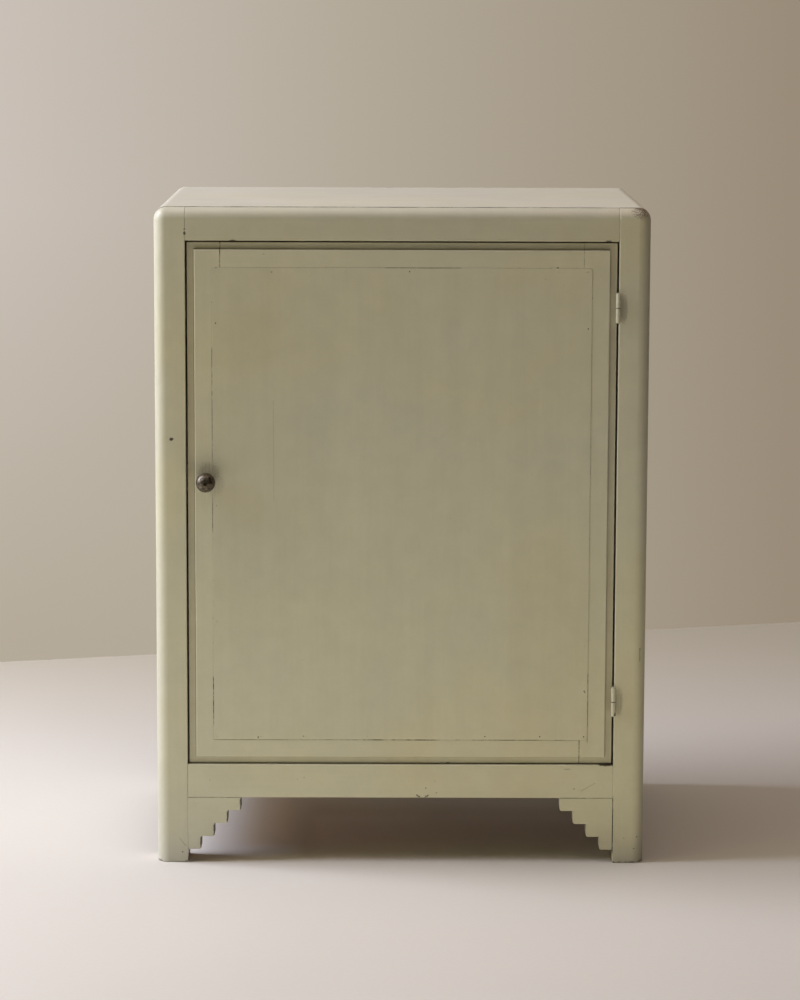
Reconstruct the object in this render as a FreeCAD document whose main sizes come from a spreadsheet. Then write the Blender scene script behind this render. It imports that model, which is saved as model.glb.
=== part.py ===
import FreeCAD, Part
import os
import re

# A floor-standing cupboard with one framed door. The frame of the model has +Z up and the door at -Y, with
# its origin on the floor, under the middle of the whole object. Lengths are millimetres.

SIZES = [
    # The case as a whole.
    ("case_width", 660, "over the front posts"),
    ("case_height", 890, "floor to the top"),
    ("case_depth", 420, "front face of the posts to the back"),
    ("post_width", 42, "face width of each post"),
    ("post_depth", 42, "depth of each post"),
    ("edge_round", 16, "round of the outer front and top edges"),
    ("arris", 0.8, "softened edge of a board"),
    ("top_thickness", 20, "top board"),
    ("top_lip", 18, "band in front of the top board"),
    ("top_proud", 0.8, "top board above the band in front of it"),
    ("leg_height", 90, "clear height under the rails"),
    # Rails, panels and their joints.
    ("top_rail_height", 43.2, "front rail above the door"),
    ("top_rail_depth", 40, "front rail above the door"),
    ("bottom_rail_height", 46, "rails under the door, at the sides and back"),
    ("bottom_rail_depth", 36, "front rail under the door"),
    ("side_rail_height", 46, "rails under the top at the sides and back"),
    ("side_rail_thickness", 22, "side rails"),
    ("back_rail_thickness", 20, "back rails"),
    ("side_panel_thickness", 8, "side panels"),
    ("side_panel_inset", 7, "outer face of a side rail to its panel"),
    ("groove_depth", 8, "grooves that hold the side panels"),
    ("back_panel_thickness", 5, "back panel"),
    ("back_panel_lap", 12, "back panel over each rear post"),
    ("tenon_length", 20, "tenons of the case"),
    ("tenon_thickness", 8, "tenons of the front and back rails"),
    ("tenon_setback", 14, "front face to the front rails' tenons"),
    ("tenon_shoulder", 6, "rail edge to tenon edge"),
    ("joint_relief", 1, "room at the end of a tenon or a panel"),
    ("joint_slack", 0.1, "play beside a tenon or a panel"),
    # The stepped foot brackets.
    ("bracket_run", 18, "width of one bracket step"),
    ("bracket_thickness", 24, "front to back"),
    ("bracket_round", 3, "round of each step's corner"),
    # The inside.
    ("bottom_board_thickness", 12, "floor of the cupboard"),
    ("shelf_thickness", 16, "shelf"),
    ("shelf_drop", 70, "knob's axis down to the shelf's upper face"),
    ("shelf_clearance", 5.4, "door stops to the shelf's front edge"),
    ("shelf_slack", 1, "play at the shelf's ends"),
    ("cleat_width", 18, "shelf cleats"),
    ("cleat_height", 20, "shelf cleats"),
    ("stop_height", 14, "door stop under the top rail"),
    ("stop_clearance", 0.6, "back of the closed door to its stops"),
    # The door.
    ("door_thickness", 22, "door frame"),
    ("door_gap", 2.4, "beside the door at the top and the latch side"),
    ("bottom_gap", 1.2, "under the door"),
    ("stile_width", 44, "door stiles"),
    ("door_rail_width", 44, "door rails"),
    ("border_width", 9.5, "stepped border round the door"),
    ("border_depth", 5, "stepped border below the door's face"),
    ("field_round", 1.2, "round of the field's edge at the border"),
    ("panel_thickness", 6, "door panel"),
    ("panel_proud", 0.4, "door panel in front of the frame's face"),
    ("panel_corner", 3.6, "round of the door panel's corners"),
    ("panel_round", 0.4, "round of the edge of the door panel's face"),
    ("panel_lap", 11, "door panel over the frame"),
    ("panel_slack", 0.1, "open seam round the door panel"),
    ("door_tenon_length", 26, "tenons of the door rails"),
    ("door_tenon_setback", 9, "door face to the door rails' tenons"),
    # The lift-off hinges.
    ("hinge_height", 40, "each hinge"),
    ("hinge_inset", 88, "opening's edge to a hinge's middle"),
    ("barrel_diameter", 6, "hinge barrel"),
    ("barrel_standoff", 0.4, "barrel to the face of the post"),
    ("knuckle_gap", 0.3, "between the two knuckles"),
    ("knuckle_cap", 2, "closed end of the upper knuckle"),
    ("knuckle_taper", 0.9, "narrowed end of each knuckle"),
    ("pin_diameter", 3.6, "hinge pin"),
    ("pin_clearance", 0.05, "hinge pin in the upper knuckle"),
    ("leaf_thickness", 1.1, "hinge leaves"),
    ("leaf_clearance", 0.3, "between the closed leaves"),
    ("leaf_width", 17, "hinge leaves, front to back"),
    ("leaf_screw_spacing", 24, "hinge screws, up and down"),
    # The knob and its latch.
    ("knob_diameter", 26, "ball of the knob"),
    ("knob_reach", 34, "door face to the front of the knob"),
    ("knob_height", 525, "floor to the knob's axis"),
    ("neck_diameter", 10, "neck where it meets the ball"),
    ("neck_foot_diameter", 15, "neck where it meets the door"),
    ("latch_play", 0.3, "latch along its axis, each way"),
    ("spindle_diameter", 5, "latch spindle"),
    ("spindle_clearance", 0.05, "spindle in the door"),
    ("spindle_recess", 0.5, "spindle's end below the ball's front"),
    ("spindle_tail", 2, "spindle's end past the nut"),
    ("washer_diameter", 14, "washer behind the door"),
    ("tongue_end_clearance", 1.8, "tip of the turned tongue to the keeper"),
    ("tongue_width", 14, "latch tongue"),
    ("tongue_thickness", 3, "latch tongue"),
    ("tongue_round", 5, "corners of the latch tongue"),
    ("tongue_clearance", 0.4, "tongue to the keeper's lip"),
    ("nut_width", 9, "latch nut, corner to corner"),
    ("nut_thickness", 4, "latch nut"),
    ("keeper_thickness", 1.6, "latch keeper plate"),
    ("keeper_lip", 12, "post to the edge of the keeper's lip"),
    ("keeper_width", 16, "keeper's flange on the post"),
    ("keeper_height", 34, "keeper, up and down"),
    ("keeper_screw_spacing", 20, "keeper screws, up and down"),
    # Screws, nails and pins.
    ("hinge_screw_head", 5.6, "hinge and keeper screws, head diameter"),
    ("hinge_screw_shank", 2.8, "hinge and keeper screws, shank diameter"),
    ("hinge_screw_length", 16, "hinge and keeper screws"),
    ("cleat_screw_head", 7.6, "cleat screws, head diameter"),
    ("cleat_screw_shank", 3.8, "cleat screws, shank diameter"),
    ("cleat_screw_length", 34, "cleat screws"),
    ("slot_width", 0.9, "screw slots"),
    ("slot_depth", 0.8, "screw slots"),
    ("nail_head", 4, "back panel nails, head diameter"),
    ("nail_head_thickness", 0.8, "back panel nails"),
    ("nail_shank", 1.8, "back panel nails, shank diameter"),
    ("nail_length", 18, "back panel nails"),
    ("nail_inset", 7, "back panel's edge to its nails"),
    ("pin_head", 1.8, "door panel pins, head diameter"),
    ("pin_head_thickness", 0.6, "door panel pins"),
    ("pin_shank", 1.2, "door panel pins, shank diameter"),
    ("pin_length", 14, "door panel pins"),
    ("pin_sink", 0.4, "pin heads below the panel's face"),
    ("panel_pin_inset", 5, "door panel's edge to its pins"),
    # Cuts run past the faces that they open.
    ("overrun", 1, "past an open face"),
]

# Counts, and places along an edge or across a face as shares of its length.
BRACKET_STEPS = 4
NUT_SIDES = 6
KNOB_FIELD_SHARE = 0.66
LEAF_SCREW_SHARE = 0.6
TOP_PIN_SHARES = (0, 0.15, 0.35, 0.52, 0.74, 0.92, 1)
BOTTOM_PIN_SHARES = (0, 0.12, 0.24, 0.41, 0.57, 0.73, 0.88, 1)
LEFT_PIN_SHARES = (0.11, 0.25, 0.38, 0.5, 0.62, 0.75, 0.88)
RIGHT_PIN_SHARES = (0.12, 0.24, 0.4, 0.54, 0.68, 0.8, 0.9)
RAIL_NAIL_SHARES = (0.02, 0.18, 0.34, 0.5, 0.66, 0.82, 0.98)
POST_NAIL_SHARES = (0.15, 0.3, 0.45, 0.6, 0.75, 0.88)

# Places that follow from the sizes, in the frame of the whole object.
PLACES = {
    "front_y": "(knob_reach - case_depth) / 2",
    "back_y": "(knob_reach + case_depth) / 2",
    "outer_x": "case_width / 2",
    "inner_x": "outer_x - post_width",
    "post_back_y": "front_y + post_depth",
    "rear_post_y": "back_y - post_depth",
    "seat_z": "case_height - top_thickness",
    "lip_z": "case_height - top_proud",
    "opening_top": "lip_z - top_rail_height",
    "opening_bottom": "leg_height + bottom_rail_height",
    "side_rail_z": "seat_z - side_rail_height",
    "bracket_rise": f"leg_height / {BRACKET_STEPS + 1}",
    "side_panel_out": "outer_x - side_panel_inset",
    "side_panel_in": "side_panel_out - side_panel_thickness",
    "side_rail_x": "outer_x - side_rail_thickness",
    "back_face_y": "back_y - back_panel_thickness",
    "back_rail_y": "back_face_y - back_rail_thickness",
    "back_tenon_y": "back_rail_y + (back_rail_thickness - tenon_thickness) / 2",
    "back_panel_x": "inner_x + back_panel_lap",
    "front_tenon_y": "front_y + tenon_setback",
    "hinge_gap": "2 * leaf_thickness + leaf_clearance",
    "door_left": "door_gap - inner_x",
    "door_right": "inner_x - hinge_gap",
    "door_top": "opening_top - door_gap",
    "door_bottom": "opening_bottom + bottom_gap",
    "door_back": "front_y + door_thickness",
    "stop_y": "door_back + stop_clearance",
    "shelf_front": "stop_y + shelf_clearance",
    "shelf_over": "knob_height - shelf_drop",
    "shelf_under": "shelf_over - shelf_thickness",
    "border_y": "front_y + border_depth",
    "panel_face": "front_y - panel_proud",
    "rebate_y": "panel_face + panel_thickness",
    "rail_left": "door_left + stile_width",
    "rail_right": "door_right - stile_width",
    "top_rail_under": "door_top - door_rail_width",
    "bottom_rail_over": "door_bottom + door_rail_width",
    "panel_left": "rail_left - panel_lap",
    "panel_right": "rail_right + panel_lap",
    "panel_top": "top_rail_under + panel_lap",
    "panel_bottom": "bottom_rail_over - panel_lap",
    "door_tenon_y": "front_y + door_tenon_setback",
    "hinge_x": "inner_x - hinge_gap / 2",
    "hinge_y": "front_y - barrel_standoff - barrel_diameter / 2",
    "leaf_back": "front_y + leaf_width",
    "leaf_screw_y": f"front_y + leaf_width * {LEAF_SCREW_SHARE}",
    "upper_hinge_z": "opening_top - hinge_inset",
    "lower_hinge_z": "opening_bottom + hinge_inset",
    "field_left": "door_left + border_width",
    "knob_x": f"field_left + (panel_left - field_left) * {KNOB_FIELD_SHARE}",
    "knob_front": "front_y - knob_reach",
    "ball_y": "knob_front + knob_diameter / 2",
    "keeper_x": "keeper_thickness - inner_x",
    "tongue_y": "stop_y + keeper_thickness + tongue_clearance",
    "tongue_reach": "knob_x - keeper_x - tongue_end_clearance",
    "nut_y": "tongue_y + tongue_thickness",
}

PICK_TOLERANCE = 1e-4
WORD = re.compile(r"[a-z][a-z_]*")

doc = FreeCAD.newDocument("cupboard")
sheet = doc.addObject("Spreadsheet::Sheet", "Sizes")
for row, (alias, size, note) in enumerate(SIZES, 1):
    sheet.set(f"A{row}", alias)
    sheet.set(f"B{row}", str(size))
    sheet.setAlias(f"B{row}", alias)
    sheet.set(f"C{row}", note)
doc.recompute()

nodes = []


def spell(text):
    """The text as an expression of the sheet, with every place written out in sizes."""

    def one(match):
        word = match.group(0)
        return f"({spell(PLACES[word])})" if word in PLACES else f"Sizes.{word}"

    return WORD.sub(one, text)


def value(text):
    return float(sheet.evalExpression(spell(text)))


def bind(thing, name, text):
    thing.setExpression(name, spell(text))


def side(sign, low, high):
    """A span on the right, or its mirror image on the left where the sign is negative."""
    return (low, high) if sign > 0 else (f"-({high})", f"-({low})")


def turned(along):
    """The rotation that takes +Z to a direction such as +x or -y."""
    axis = FreeCAD.Vector(*[int(name == along[1]) for name in "xyz"])
    return FreeCAD.Rotation(FreeCAD.Vector(0, 0, 1), axis if along[0] == "+" else -axis)


class Piece:
    """A body at its own corner. Its features are given in the whole object's frame."""

    def __init__(self, label, *corner):
        self.label = label
        self.corner = corner
        self.body = doc.addObject("PartDesign::Body", label + "_body")
        for axis, start in zip("xyz", corner):
            bind(self.body, f"Placement.Base.{axis}", start)

    def feature(self, kind, start, along="+z", **sizes):
        made = self.body.newObject(f"PartDesign::{kind}", f"{self.label}_{kind}")
        made.Placement = FreeCAD.Placement(FreeCAD.Vector(), turned(along))
        for axis, place, corner in zip("xyz", start, self.corner):
            bind(made, f"Placement.Base.{axis}", f"({place}) - ({corner})")
        for name, text in sizes.items():
            bind(made, name, text)
        return made

    def block(self, kind, x, y, z):
        length, width, height = [f"({high}) - ({low})" for low, high in (x, y, z)]
        start = (x[0], y[0], z[0])
        return self.feature(f"{kind}Box", start, Length=length, Width=width, Height=height)

    def add(self, x, y, z):
        return self.block("Additive", x, y, z)

    def cut(self, x, y, z):
        """Cuts a block away, which has to take some of the body."""
        doc.recompute()
        before = self.body.Tip.Shape.Volume
        made = self.block("Subtractive", x, y, z)
        doc.recompute()
        if not made.Shape.Volume < before:
            raise RuntimeError(f"{made.Name} cuts nothing")
        return made

    def rod(self, kind, start, along, diameter, length):
        return self.feature(f"{kind}Cylinder", start, along, Radius=f"({diameter}) / 2", Height=length)

    def cone(self, start, along, first, last, length):
        radii = {"Radius1": f"({first}) / 2", "Radius2": f"({last}) / 2"}
        return self.feature("AdditiveCone", start, along, Height=length, **radii)

    def edges(self, **planes):
        """The names of the edges that lie in all the planes given, such as x=... with y=..."""
        places = {axis: value(text) - value(self.corner["xyz".index(axis)]) for axis, text in planes.items()}
        names = []
        for number, edge in enumerate(self.body.Tip.Shape.Edges, 1):
            box = edge.BoundBox
            ends = {"x": (box.XMin, box.XMax), "y": (box.YMin, box.YMax), "z": (box.ZMin, box.ZMax)}
            if all(abs(end - place) < PICK_TOLERANCE for axis, place in places.items() for end in ends[axis]):
                names.append(f"Edge{number}")
        if not names:
            raise RuntimeError(f"{self.label} has no edge at {planes}")
        return names

    def round(self, radius, *picks):
        doc.recompute()
        base = self.body.Tip
        names = [name for planes in picks for name in self.edges(**planes)]
        made = self.body.newObject("PartDesign::Fillet", f"{self.label}_round")
        made.Base = (base, names)
        bind(made, "Radius", radius)
        doc.recompute()

    def done(self, *groups):
        """Makes this piece a node, with holes for the fastener groups that go into it."""
        last = self.body
        for group in groups:
            bored = doc.addObject("Part::Cut", f"{self.label}_bored")
            bored.Base = last
            bored.Tool = group
            last = bored
        last.Label = self.label
        nodes.append(last)


def board(label, x, y, z):
    piece = Piece(label, x[0], y[0], z[0])
    piece.add(x, y, z)
    return piece


def compound(label, things):
    made = doc.addObject("Part::Compound", label)
    made.Links = things
    return made


def screw(at, along, head, shank, length):
    """A countersunk screw whose head's face is at a point, without its slot."""
    piece = Piece("screw", *at)
    sink = f"(({head}) - ({shank})) / 2"
    piece.cone(at, along, head, shank, sink)
    piece.rod("Additive", at, along, shank, length)
    return piece.body


def slot(at, along, head):
    """The block that cuts a screw's slot, across the head and level."""
    reach = f"({head}) / 2 + overrun"
    spans = [(f"({place}) - ({reach})", f"({place}) + ({reach})") for place in at]
    spans[2] = (f"({at[2]}) - slot_width / 2", f"({at[2]}) + slot_width / 2")
    deep = "xyz".index(along[1])
    depth = (f"({at[deep]}) - overrun", f"({at[deep]}) + slot_depth")
    spans[deep] = depth if along[0] == "+" else (f"({at[deep]}) - slot_depth", f"({at[deep]}) + overrun")
    made = doc.addObject("Part::Box", "slot")
    for name, axis, (low, high) in zip(("Length", "Width", "Height"), "xyz", spans):
        bind(made, name, f"({high}) - ({low})")
        bind(made, f"Placement.Base.{axis}", low)
    return made


def screws(label, places, head, shank, length):
    """A node of slotted screws. Gives the plain screws, which bore the pieces that they hold."""
    plain = compound(f"{label}_plain", [screw(at, along, head, shank, length) for at, along in places])
    slotted = doc.addObject("Part::Cut", f"{label}_slotted")
    slotted.Base = plain
    slotted.Tool = compound(f"{label}_slots", [slot(at, along, head) for at, along in places])
    slotted.Label = label
    nodes.append(slotted)
    return plain


def nail(at, along, head, head_length, shank, length):
    piece = Piece("nail", *at)
    piece.rod("Additive", at, along, head, head_length)
    piece.rod("Additive", at, along, shank, length)
    return piece.body


def between(low, high, share):
    return f"({low}) + (({high}) - ({low})) * {share}"


# Screws, nails and pins come first, because they bore the pieces that they hold.

HINGES = (("upper", "upper_hinge_z"), ("lower", "lower_hinge_z"))
SIDES = (("left", -1), ("right", 1))

leaf_screw_heights = [f"{height} {turn} leaf_screw_spacing / 2" for _, height in HINGES for turn in "+-"]
hinge_screw = ("hinge_screw_head", "hinge_screw_shank", "hinge_screw_length")
hinge_post_screws = screws(
    "hinge_post_screws",
    [(("inner_x - leaf_thickness", "leaf_screw_y", z), "+x") for z in leaf_screw_heights],
    *hinge_screw,
)
hinge_door_screws = screws(
    "hinge_door_screws",
    [(("door_right + leaf_thickness", "leaf_screw_y", z), "-x") for z in leaf_screw_heights],
    *hinge_screw,
)
keeper_screw_y = "stop_y + (keeper_thickness + keeper_width) / 2"
keeper_screws = screws(
    "keeper_screws",
    [
        (("keeper_x", keeper_screw_y, f"knob_height {turn} keeper_screw_spacing / 2"), "-x")
        for turn in "+-"
    ],
    *hinge_screw,
)
cleat_screw_z = "shelf_under - cleat_height / 2"
cleat_screws = screws(
    "cleat_screws",
    [
        ((f"{turn} (inner_x - cleat_width)", y, cleat_screw_z), f"{turn}x")
        for turn in "-+"
        for y in ("(shelf_front + post_back_y) / 2", "(rear_post_y + back_face_y) / 2")
    ],
    "cleat_screw_head",
    "cleat_screw_shank",
    "cleat_screw_length",
)

nail_places = [
    (between("nail_inset - back_panel_x", "back_panel_x - nail_inset", share), z)
    for z in ("leg_height + bottom_rail_height / 2", "seat_z - side_rail_height / 2")
    for share in RAIL_NAIL_SHARES
] + [
    (f"{turn} (back_panel_x - nail_inset)", between("leg_height", "seat_z", share))
    for turn in "+-"
    for share in POST_NAIL_SHARES
]
back_panel_nails = compound(
    "back_panel_nails",
    [
        nail((x, "back_y", z), "-y", "nail_head", "nail_head_thickness", "nail_shank", "nail_length")
        for x, z in nail_places
    ],
)
nodes.append(back_panel_nails)

pin_left, pin_right = "panel_left + panel_pin_inset", "panel_right - panel_pin_inset"
pin_low, pin_high = "panel_bottom + panel_pin_inset", "panel_top - panel_pin_inset"
pin_places = (
    [(between(pin_left, pin_right, share), pin_high) for share in TOP_PIN_SHARES]
    + [(between(pin_left, pin_right, share), pin_low) for share in BOTTOM_PIN_SHARES]
    + [(pin_left, between(pin_high, pin_low, share)) for share in LEFT_PIN_SHARES]
    + [(pin_right, between(pin_high, pin_low, share)) for share in RIGHT_PIN_SHARES]
)
PIN = ("pin_head", "pin_head_thickness", "pin_shank", "pin_length")
door_panel_pins = compound(
    "door_panel_pins",
    [nail((x, "panel_face + pin_sink", z), "+y", *PIN) for x, z in pin_places],
)
nodes.append(door_panel_pins)
# The holes in the panel start at its face, so that each sunk head lies at the bottom of a dimple.
pin_holes = compound(
    "pin_holes",
    [
        nail(
            (x, "panel_face - overrun", z),
            "+y",
            "pin_head",
            "overrun + pin_sink + pin_head_thickness",
            "pin_shank",
            "overrun + pin_sink + pin_length",
        )
        for x, z in pin_places
    ],
)

# The case.

GROOVE = ("side_panel_in - joint_slack", "side_panel_out + joint_slack")
TOP_SIDE_TENON = ("side_rail_z + groove_depth", "seat_z - tenon_shoulder")
BOTTOM_SIDE_TENON = ("leg_height + tenon_shoulder", "opening_bottom - groove_depth")
FRONT_TOP_TENON = ("opening_top + tenon_shoulder", "seat_z - tenon_shoulder")
BOTTOM_TENON = ("leg_height + tenon_shoulder", "opening_bottom - tenon_shoulder")
BACK_TOP_TENON = ("side_rail_z + tenon_shoulder", "seat_z - tenon_shoulder")
FRONT_TENON = ("front_tenon_y", "front_tenon_y + tenon_thickness")
BACK_TENON = ("back_tenon_y", "back_tenon_y + tenon_thickness")


def loose(span):
    """A mortise's span for a tenon's."""
    return f"({span[0]}) - joint_slack", f"({span[1]}) + joint_slack"


def mortise_inward(post, sign, y, z):
    """A mortise in the face of a post that looks at the other post."""
    post.cut(side(sign, "inner_x - overrun", "inner_x + tenon_length + joint_relief"), loose(y), loose(z))


def side_joints(post, sign, face, turn):
    """The groove and the two mortises for a side frame, in the face of a post at y = face."""

    def depth(length):
        ends = f"{face} {turn} ({length})", f"{face} {'-' if turn == '+' else '+'} overrun"
        return ends if turn == "-" else ends[::-1]

    x = side(sign, *GROOVE)
    post.cut(x, depth("groove_depth"), ("opening_bottom - groove_depth", "side_rail_z + groove_depth"))
    for tenon in (TOP_SIDE_TENON, BOTTOM_SIDE_TENON):
        post.cut(x, depth("tenon_length + joint_relief"), loose(tenon))


def front_post(name, sign, *groups):
    outer, inner = ("outer_x", "inner_x") if sign > 0 else ("-outer_x", "-inner_x")
    post = board(name, side(sign, "inner_x", "outer_x"), ("front_y", "post_back_y"), ("0", "lip_z"))
    post.round(
        "edge_round",
        {"x": outer, "y": "front_y"},
        {"y": "front_y", "z": "lip_z"},
        {"x": outer, "z": "lip_z"},
    )
    post.round("arris", {"x": inner, "y": "front_y"})
    post.cut(
        side(sign, "inner_x - overrun", "outer_x + overrun"),
        ("front_y + top_lip", "post_back_y + overrun"),
        ("seat_z", "lip_z + overrun"),
    )
    mortise_inward(post, sign, FRONT_TENON, FRONT_TOP_TENON)
    mortise_inward(post, sign, FRONT_TENON, BOTTOM_TENON)
    side_joints(post, sign, "post_back_y", "-")
    post.done(*groups)


def rear_post(name, sign):
    outer = "outer_x" if sign > 0 else "-outer_x"
    post = board(name, side(sign, "inner_x", "outer_x"), ("rear_post_y", "back_y"), ("0", "seat_z"))
    post.round("arris", {"x": outer, "y": "back_y"})
    post.cut(
        side(sign, "inner_x - overrun", "back_panel_x"),
        ("back_face_y", "back_y + overrun"),
        ("leg_height", "seat_z + overrun"),
    )
    mortise_inward(post, sign, BACK_TENON, BACK_TOP_TENON)
    mortise_inward(post, sign, BACK_TENON, BOTTOM_TENON)
    side_joints(post, sign, "rear_post_y", "+")
    post.done(cleat_screws, back_panel_nails)


front_post("front_left_post", -1, keeper_screws, cleat_screws)
front_post("front_right_post", 1, hinge_post_screws, cleat_screws)
rear_post("rear_left_post", -1)
rear_post("rear_right_post", 1)


def end_tenons(rail, y, z):
    """A tenon at each end of a rail that runs from post to post."""
    for _, sign in SIDES:
        rail.add(side(sign, "inner_x - tenon_length", "inner_x + tenon_length"), y, z)


def front_edges(*heights):
    """The edges of a rail's front face: its ends, and the heights given."""
    ends = [{"x": x, "y": "front_y"} for x in ("-inner_x", "inner_x")]
    return ends + [{"y": "front_y", "z": z} for z in heights]


RAIL_WIDE = ("-inner_x", "inner_x")
TOP_RAIL_Z = ("opening_top", "lip_z")
BOTTOM_RAIL_Z = ("leg_height", "opening_bottom")

top_rail = board("front_top_rail", RAIL_WIDE, ("front_y", "front_y + top_rail_depth"), TOP_RAIL_Z)
top_rail.round("edge_round", {"y": "front_y", "z": "lip_z"})
top_rail.round("arris", *front_edges("opening_top"))
top_rail.cut(
    ("-inner_x - overrun", "inner_x + overrun"),
    ("front_y + top_lip", "front_y + top_rail_depth + overrun"),
    ("seat_z", "lip_z + overrun"),
)
end_tenons(top_rail, FRONT_TENON, FRONT_TOP_TENON)
top_rail.done()

bottom_rail = board("front_bottom_rail", RAIL_WIDE, ("front_y", "front_y + bottom_rail_depth"), BOTTOM_RAIL_Z)
bottom_rail.round("arris", *front_edges("leg_height", "opening_bottom"))
end_tenons(bottom_rail, FRONT_TENON, BOTTOM_TENON)
bottom_rail.done()

for place, z, tenon_z in (
    ("top", ("side_rail_z", "seat_z"), BACK_TOP_TENON),
    ("bottom", BOTTOM_RAIL_Z, BOTTOM_TENON),
):
    back_rail = board(f"back_{place}_rail", RAIL_WIDE, ("back_rail_y", "back_face_y"), z)
    end_tenons(back_rail, BACK_TENON, tenon_z)
    back_rail.done(back_panel_nails)


def side_rail(name, sign, z, tenon_z, groove_z):
    """A rail from the front post to the rear post, grooved for the side panel."""
    rail = board(name, side(sign, "side_rail_x", "outer_x"), ("post_back_y", "rear_post_y"), z)
    outer = "outer_x" if sign > 0 else "-outer_x"
    rail.round("arris", {"x": outer, "z": z[0]}, {"x": outer, "z": z[1]})
    rail.cut(side(sign, *GROOVE), ("post_back_y - overrun", "rear_post_y + overrun"), groove_z)
    tongue = side(sign, "side_panel_in", "side_panel_out")
    rail.add(tongue, ("post_back_y - tenon_length", "post_back_y + tenon_length"), tenon_z)
    rail.add(tongue, ("rear_post_y - tenon_length", "rear_post_y + tenon_length"), tenon_z)
    rail.done()


for hand, sign in SIDES:
    side_rail(
        f"{hand}_top_side_rail",
        sign,
        ("side_rail_z", "seat_z"),
        TOP_SIDE_TENON,
        ("side_rail_z - overrun", "side_rail_z + groove_depth"),
    )
    side_rail(
        f"{hand}_bottom_side_rail",
        sign,
        ("leg_height", "opening_bottom"),
        BOTTOM_SIDE_TENON,
        ("opening_bottom - groove_depth", "opening_bottom + overrun"),
    )
    board(
        f"{hand}_side_panel",
        side(sign, "side_panel_in", "side_panel_out"),
        ("post_back_y - groove_depth + joint_relief", "rear_post_y + groove_depth - joint_relief"),
        ("opening_bottom - groove_depth", "side_rail_z + groove_depth - joint_relief"),
    ).done()


def foot_bracket(name, sign):
    """Four steps that narrow downwards, against the post and the underside of the rail."""
    depth = ("front_y", "front_y + bracket_thickness")
    whole = side(sign, f"inner_x - {BRACKET_STEPS} * bracket_run", "inner_x")
    bracket = Piece(name, whole[0], "front_y", "bracket_rise")
    corners = []
    for step in range(BRACKET_STEPS):
        reach = f"inner_x - {BRACKET_STEPS - step} * bracket_run"
        low = f"leg_height - {step + 1} * bracket_rise"
        bracket.add(side(sign, reach, "inner_x"), depth, (low, f"leg_height - {step} * bracket_rise"))
        corners.append({"x": reach if sign > 0 else f"-({reach})", "z": low})
    bracket.round("bracket_round", *corners)
    inner = "inner_x" if sign > 0 else "-inner_x"
    bracket.round("arris", {"x": inner, "y": "front_y"}, {"y": "front_y", "z": "leg_height"})
    bracket.done()


for hand, sign in SIDES:
    foot_bracket(f"{hand}_foot_bracket", sign)

back_panel = board(
    "back_panel",
    ("joint_slack - back_panel_x", "back_panel_x - joint_slack"),
    ("back_face_y", "back_y"),
    ("leg_height", "seat_z"),
)
back_panel.done(back_panel_nails)

TOP_DEPTH = ("front_y + top_lip", "back_y")
top_board = board("top_board", ("-outer_x", "outer_x"), TOP_DEPTH, ("seat_z", "case_height"))
top_board.round("edge_round", *[{"x": x, "z": "case_height"} for x in ("-outer_x", "outer_x")])
top_board.round("arris", *[{"y": y, "z": "case_height"} for y in TOP_DEPTH])
top_board.done()

bottom_board = board(
    "bottom_board",
    ("joint_slack - side_panel_in", "side_panel_in - joint_slack"),
    ("stop_y", "back_face_y"),
    ("opening_bottom", "opening_bottom + bottom_board_thickness"),
)
for _, sign in SIDES:
    for low, high in (
        ("stop_y - overrun", "post_back_y + joint_slack"),
        ("rear_post_y - joint_slack", "back_face_y + overrun"),
    ):
        bottom_board.cut(
            side(sign, "inner_x - joint_slack", "side_panel_in + overrun"),
            (low, high),
            ("opening_bottom - overrun", "opening_bottom + bottom_board_thickness + overrun"),
        )
bottom_board.done()

SHELF_WIDE = ("shelf_slack - inner_x", "inner_x - shelf_slack")
SHELF_DEPTH = ("shelf_front", "back_face_y - shelf_slack")
shelf = board("shelf", SHELF_WIDE, SHELF_DEPTH, ("shelf_under", "shelf_over"))
shelf.round("arris", *[{"y": "shelf_front", "z": z} for z in ("shelf_under", "shelf_over")])
shelf.done()
for hand, sign in SIDES:
    cleat = board(
        f"{hand}_shelf_cleat",
        side(sign, "inner_x - cleat_width", "inner_x"),
        SHELF_DEPTH,
        ("shelf_under - cleat_height", "shelf_under"),
    )
    cleat.done(cleat_screws)

board(
    "top_door_stop",
    ("joint_slack - inner_x", "inner_x - joint_slack"),
    ("stop_y", "front_y + top_rail_depth"),
    ("opening_top - stop_height", "opening_top"),
).done()

KEEPER_Z = ("knob_height - keeper_height / 2", "knob_height + keeper_height / 2")
keeper = board("latch_keeper", ("-inner_x", "keeper_x"), ("stop_y", "stop_y + keeper_width"), KEEPER_Z)
keeper.add(("-inner_x", "keeper_lip - inner_x"), ("stop_y", "stop_y + keeper_thickness"), KEEPER_Z)
keeper.done(keeper_screws)


# The hinges: the lower knuckle and the pin stay on the post, the upper knuckle lifts off with the door.


def hinge_leaf(name, x, z, knuckle_z, end):
    """A flat leaf in the gap beside the door, with a knuckle in front of it that narrows at its outer end."""
    leaf = board(name, x, ("front_y", "leaf_back"), z)
    leaf.add(x, ("hinge_y", "leaf_back"), knuckle_z)
    length = f"({knuckle_z[1]}) - ({knuckle_z[0]}) - knuckle_taper"
    start, tip = knuckle_z if end == "+z" else knuckle_z[::-1]
    shoulder = f"({tip}) {'-' if end == '+z' else '+'} knuckle_taper"
    leaf.rod("Additive", ("hinge_x", "hinge_y", start), end, "barrel_diameter", length)
    narrow = "barrel_diameter - 2 * knuckle_taper"
    leaf.cone(("hinge_x", "hinge_y", shoulder), end, "barrel_diameter", narrow, "knuckle_taper")
    return leaf


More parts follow.
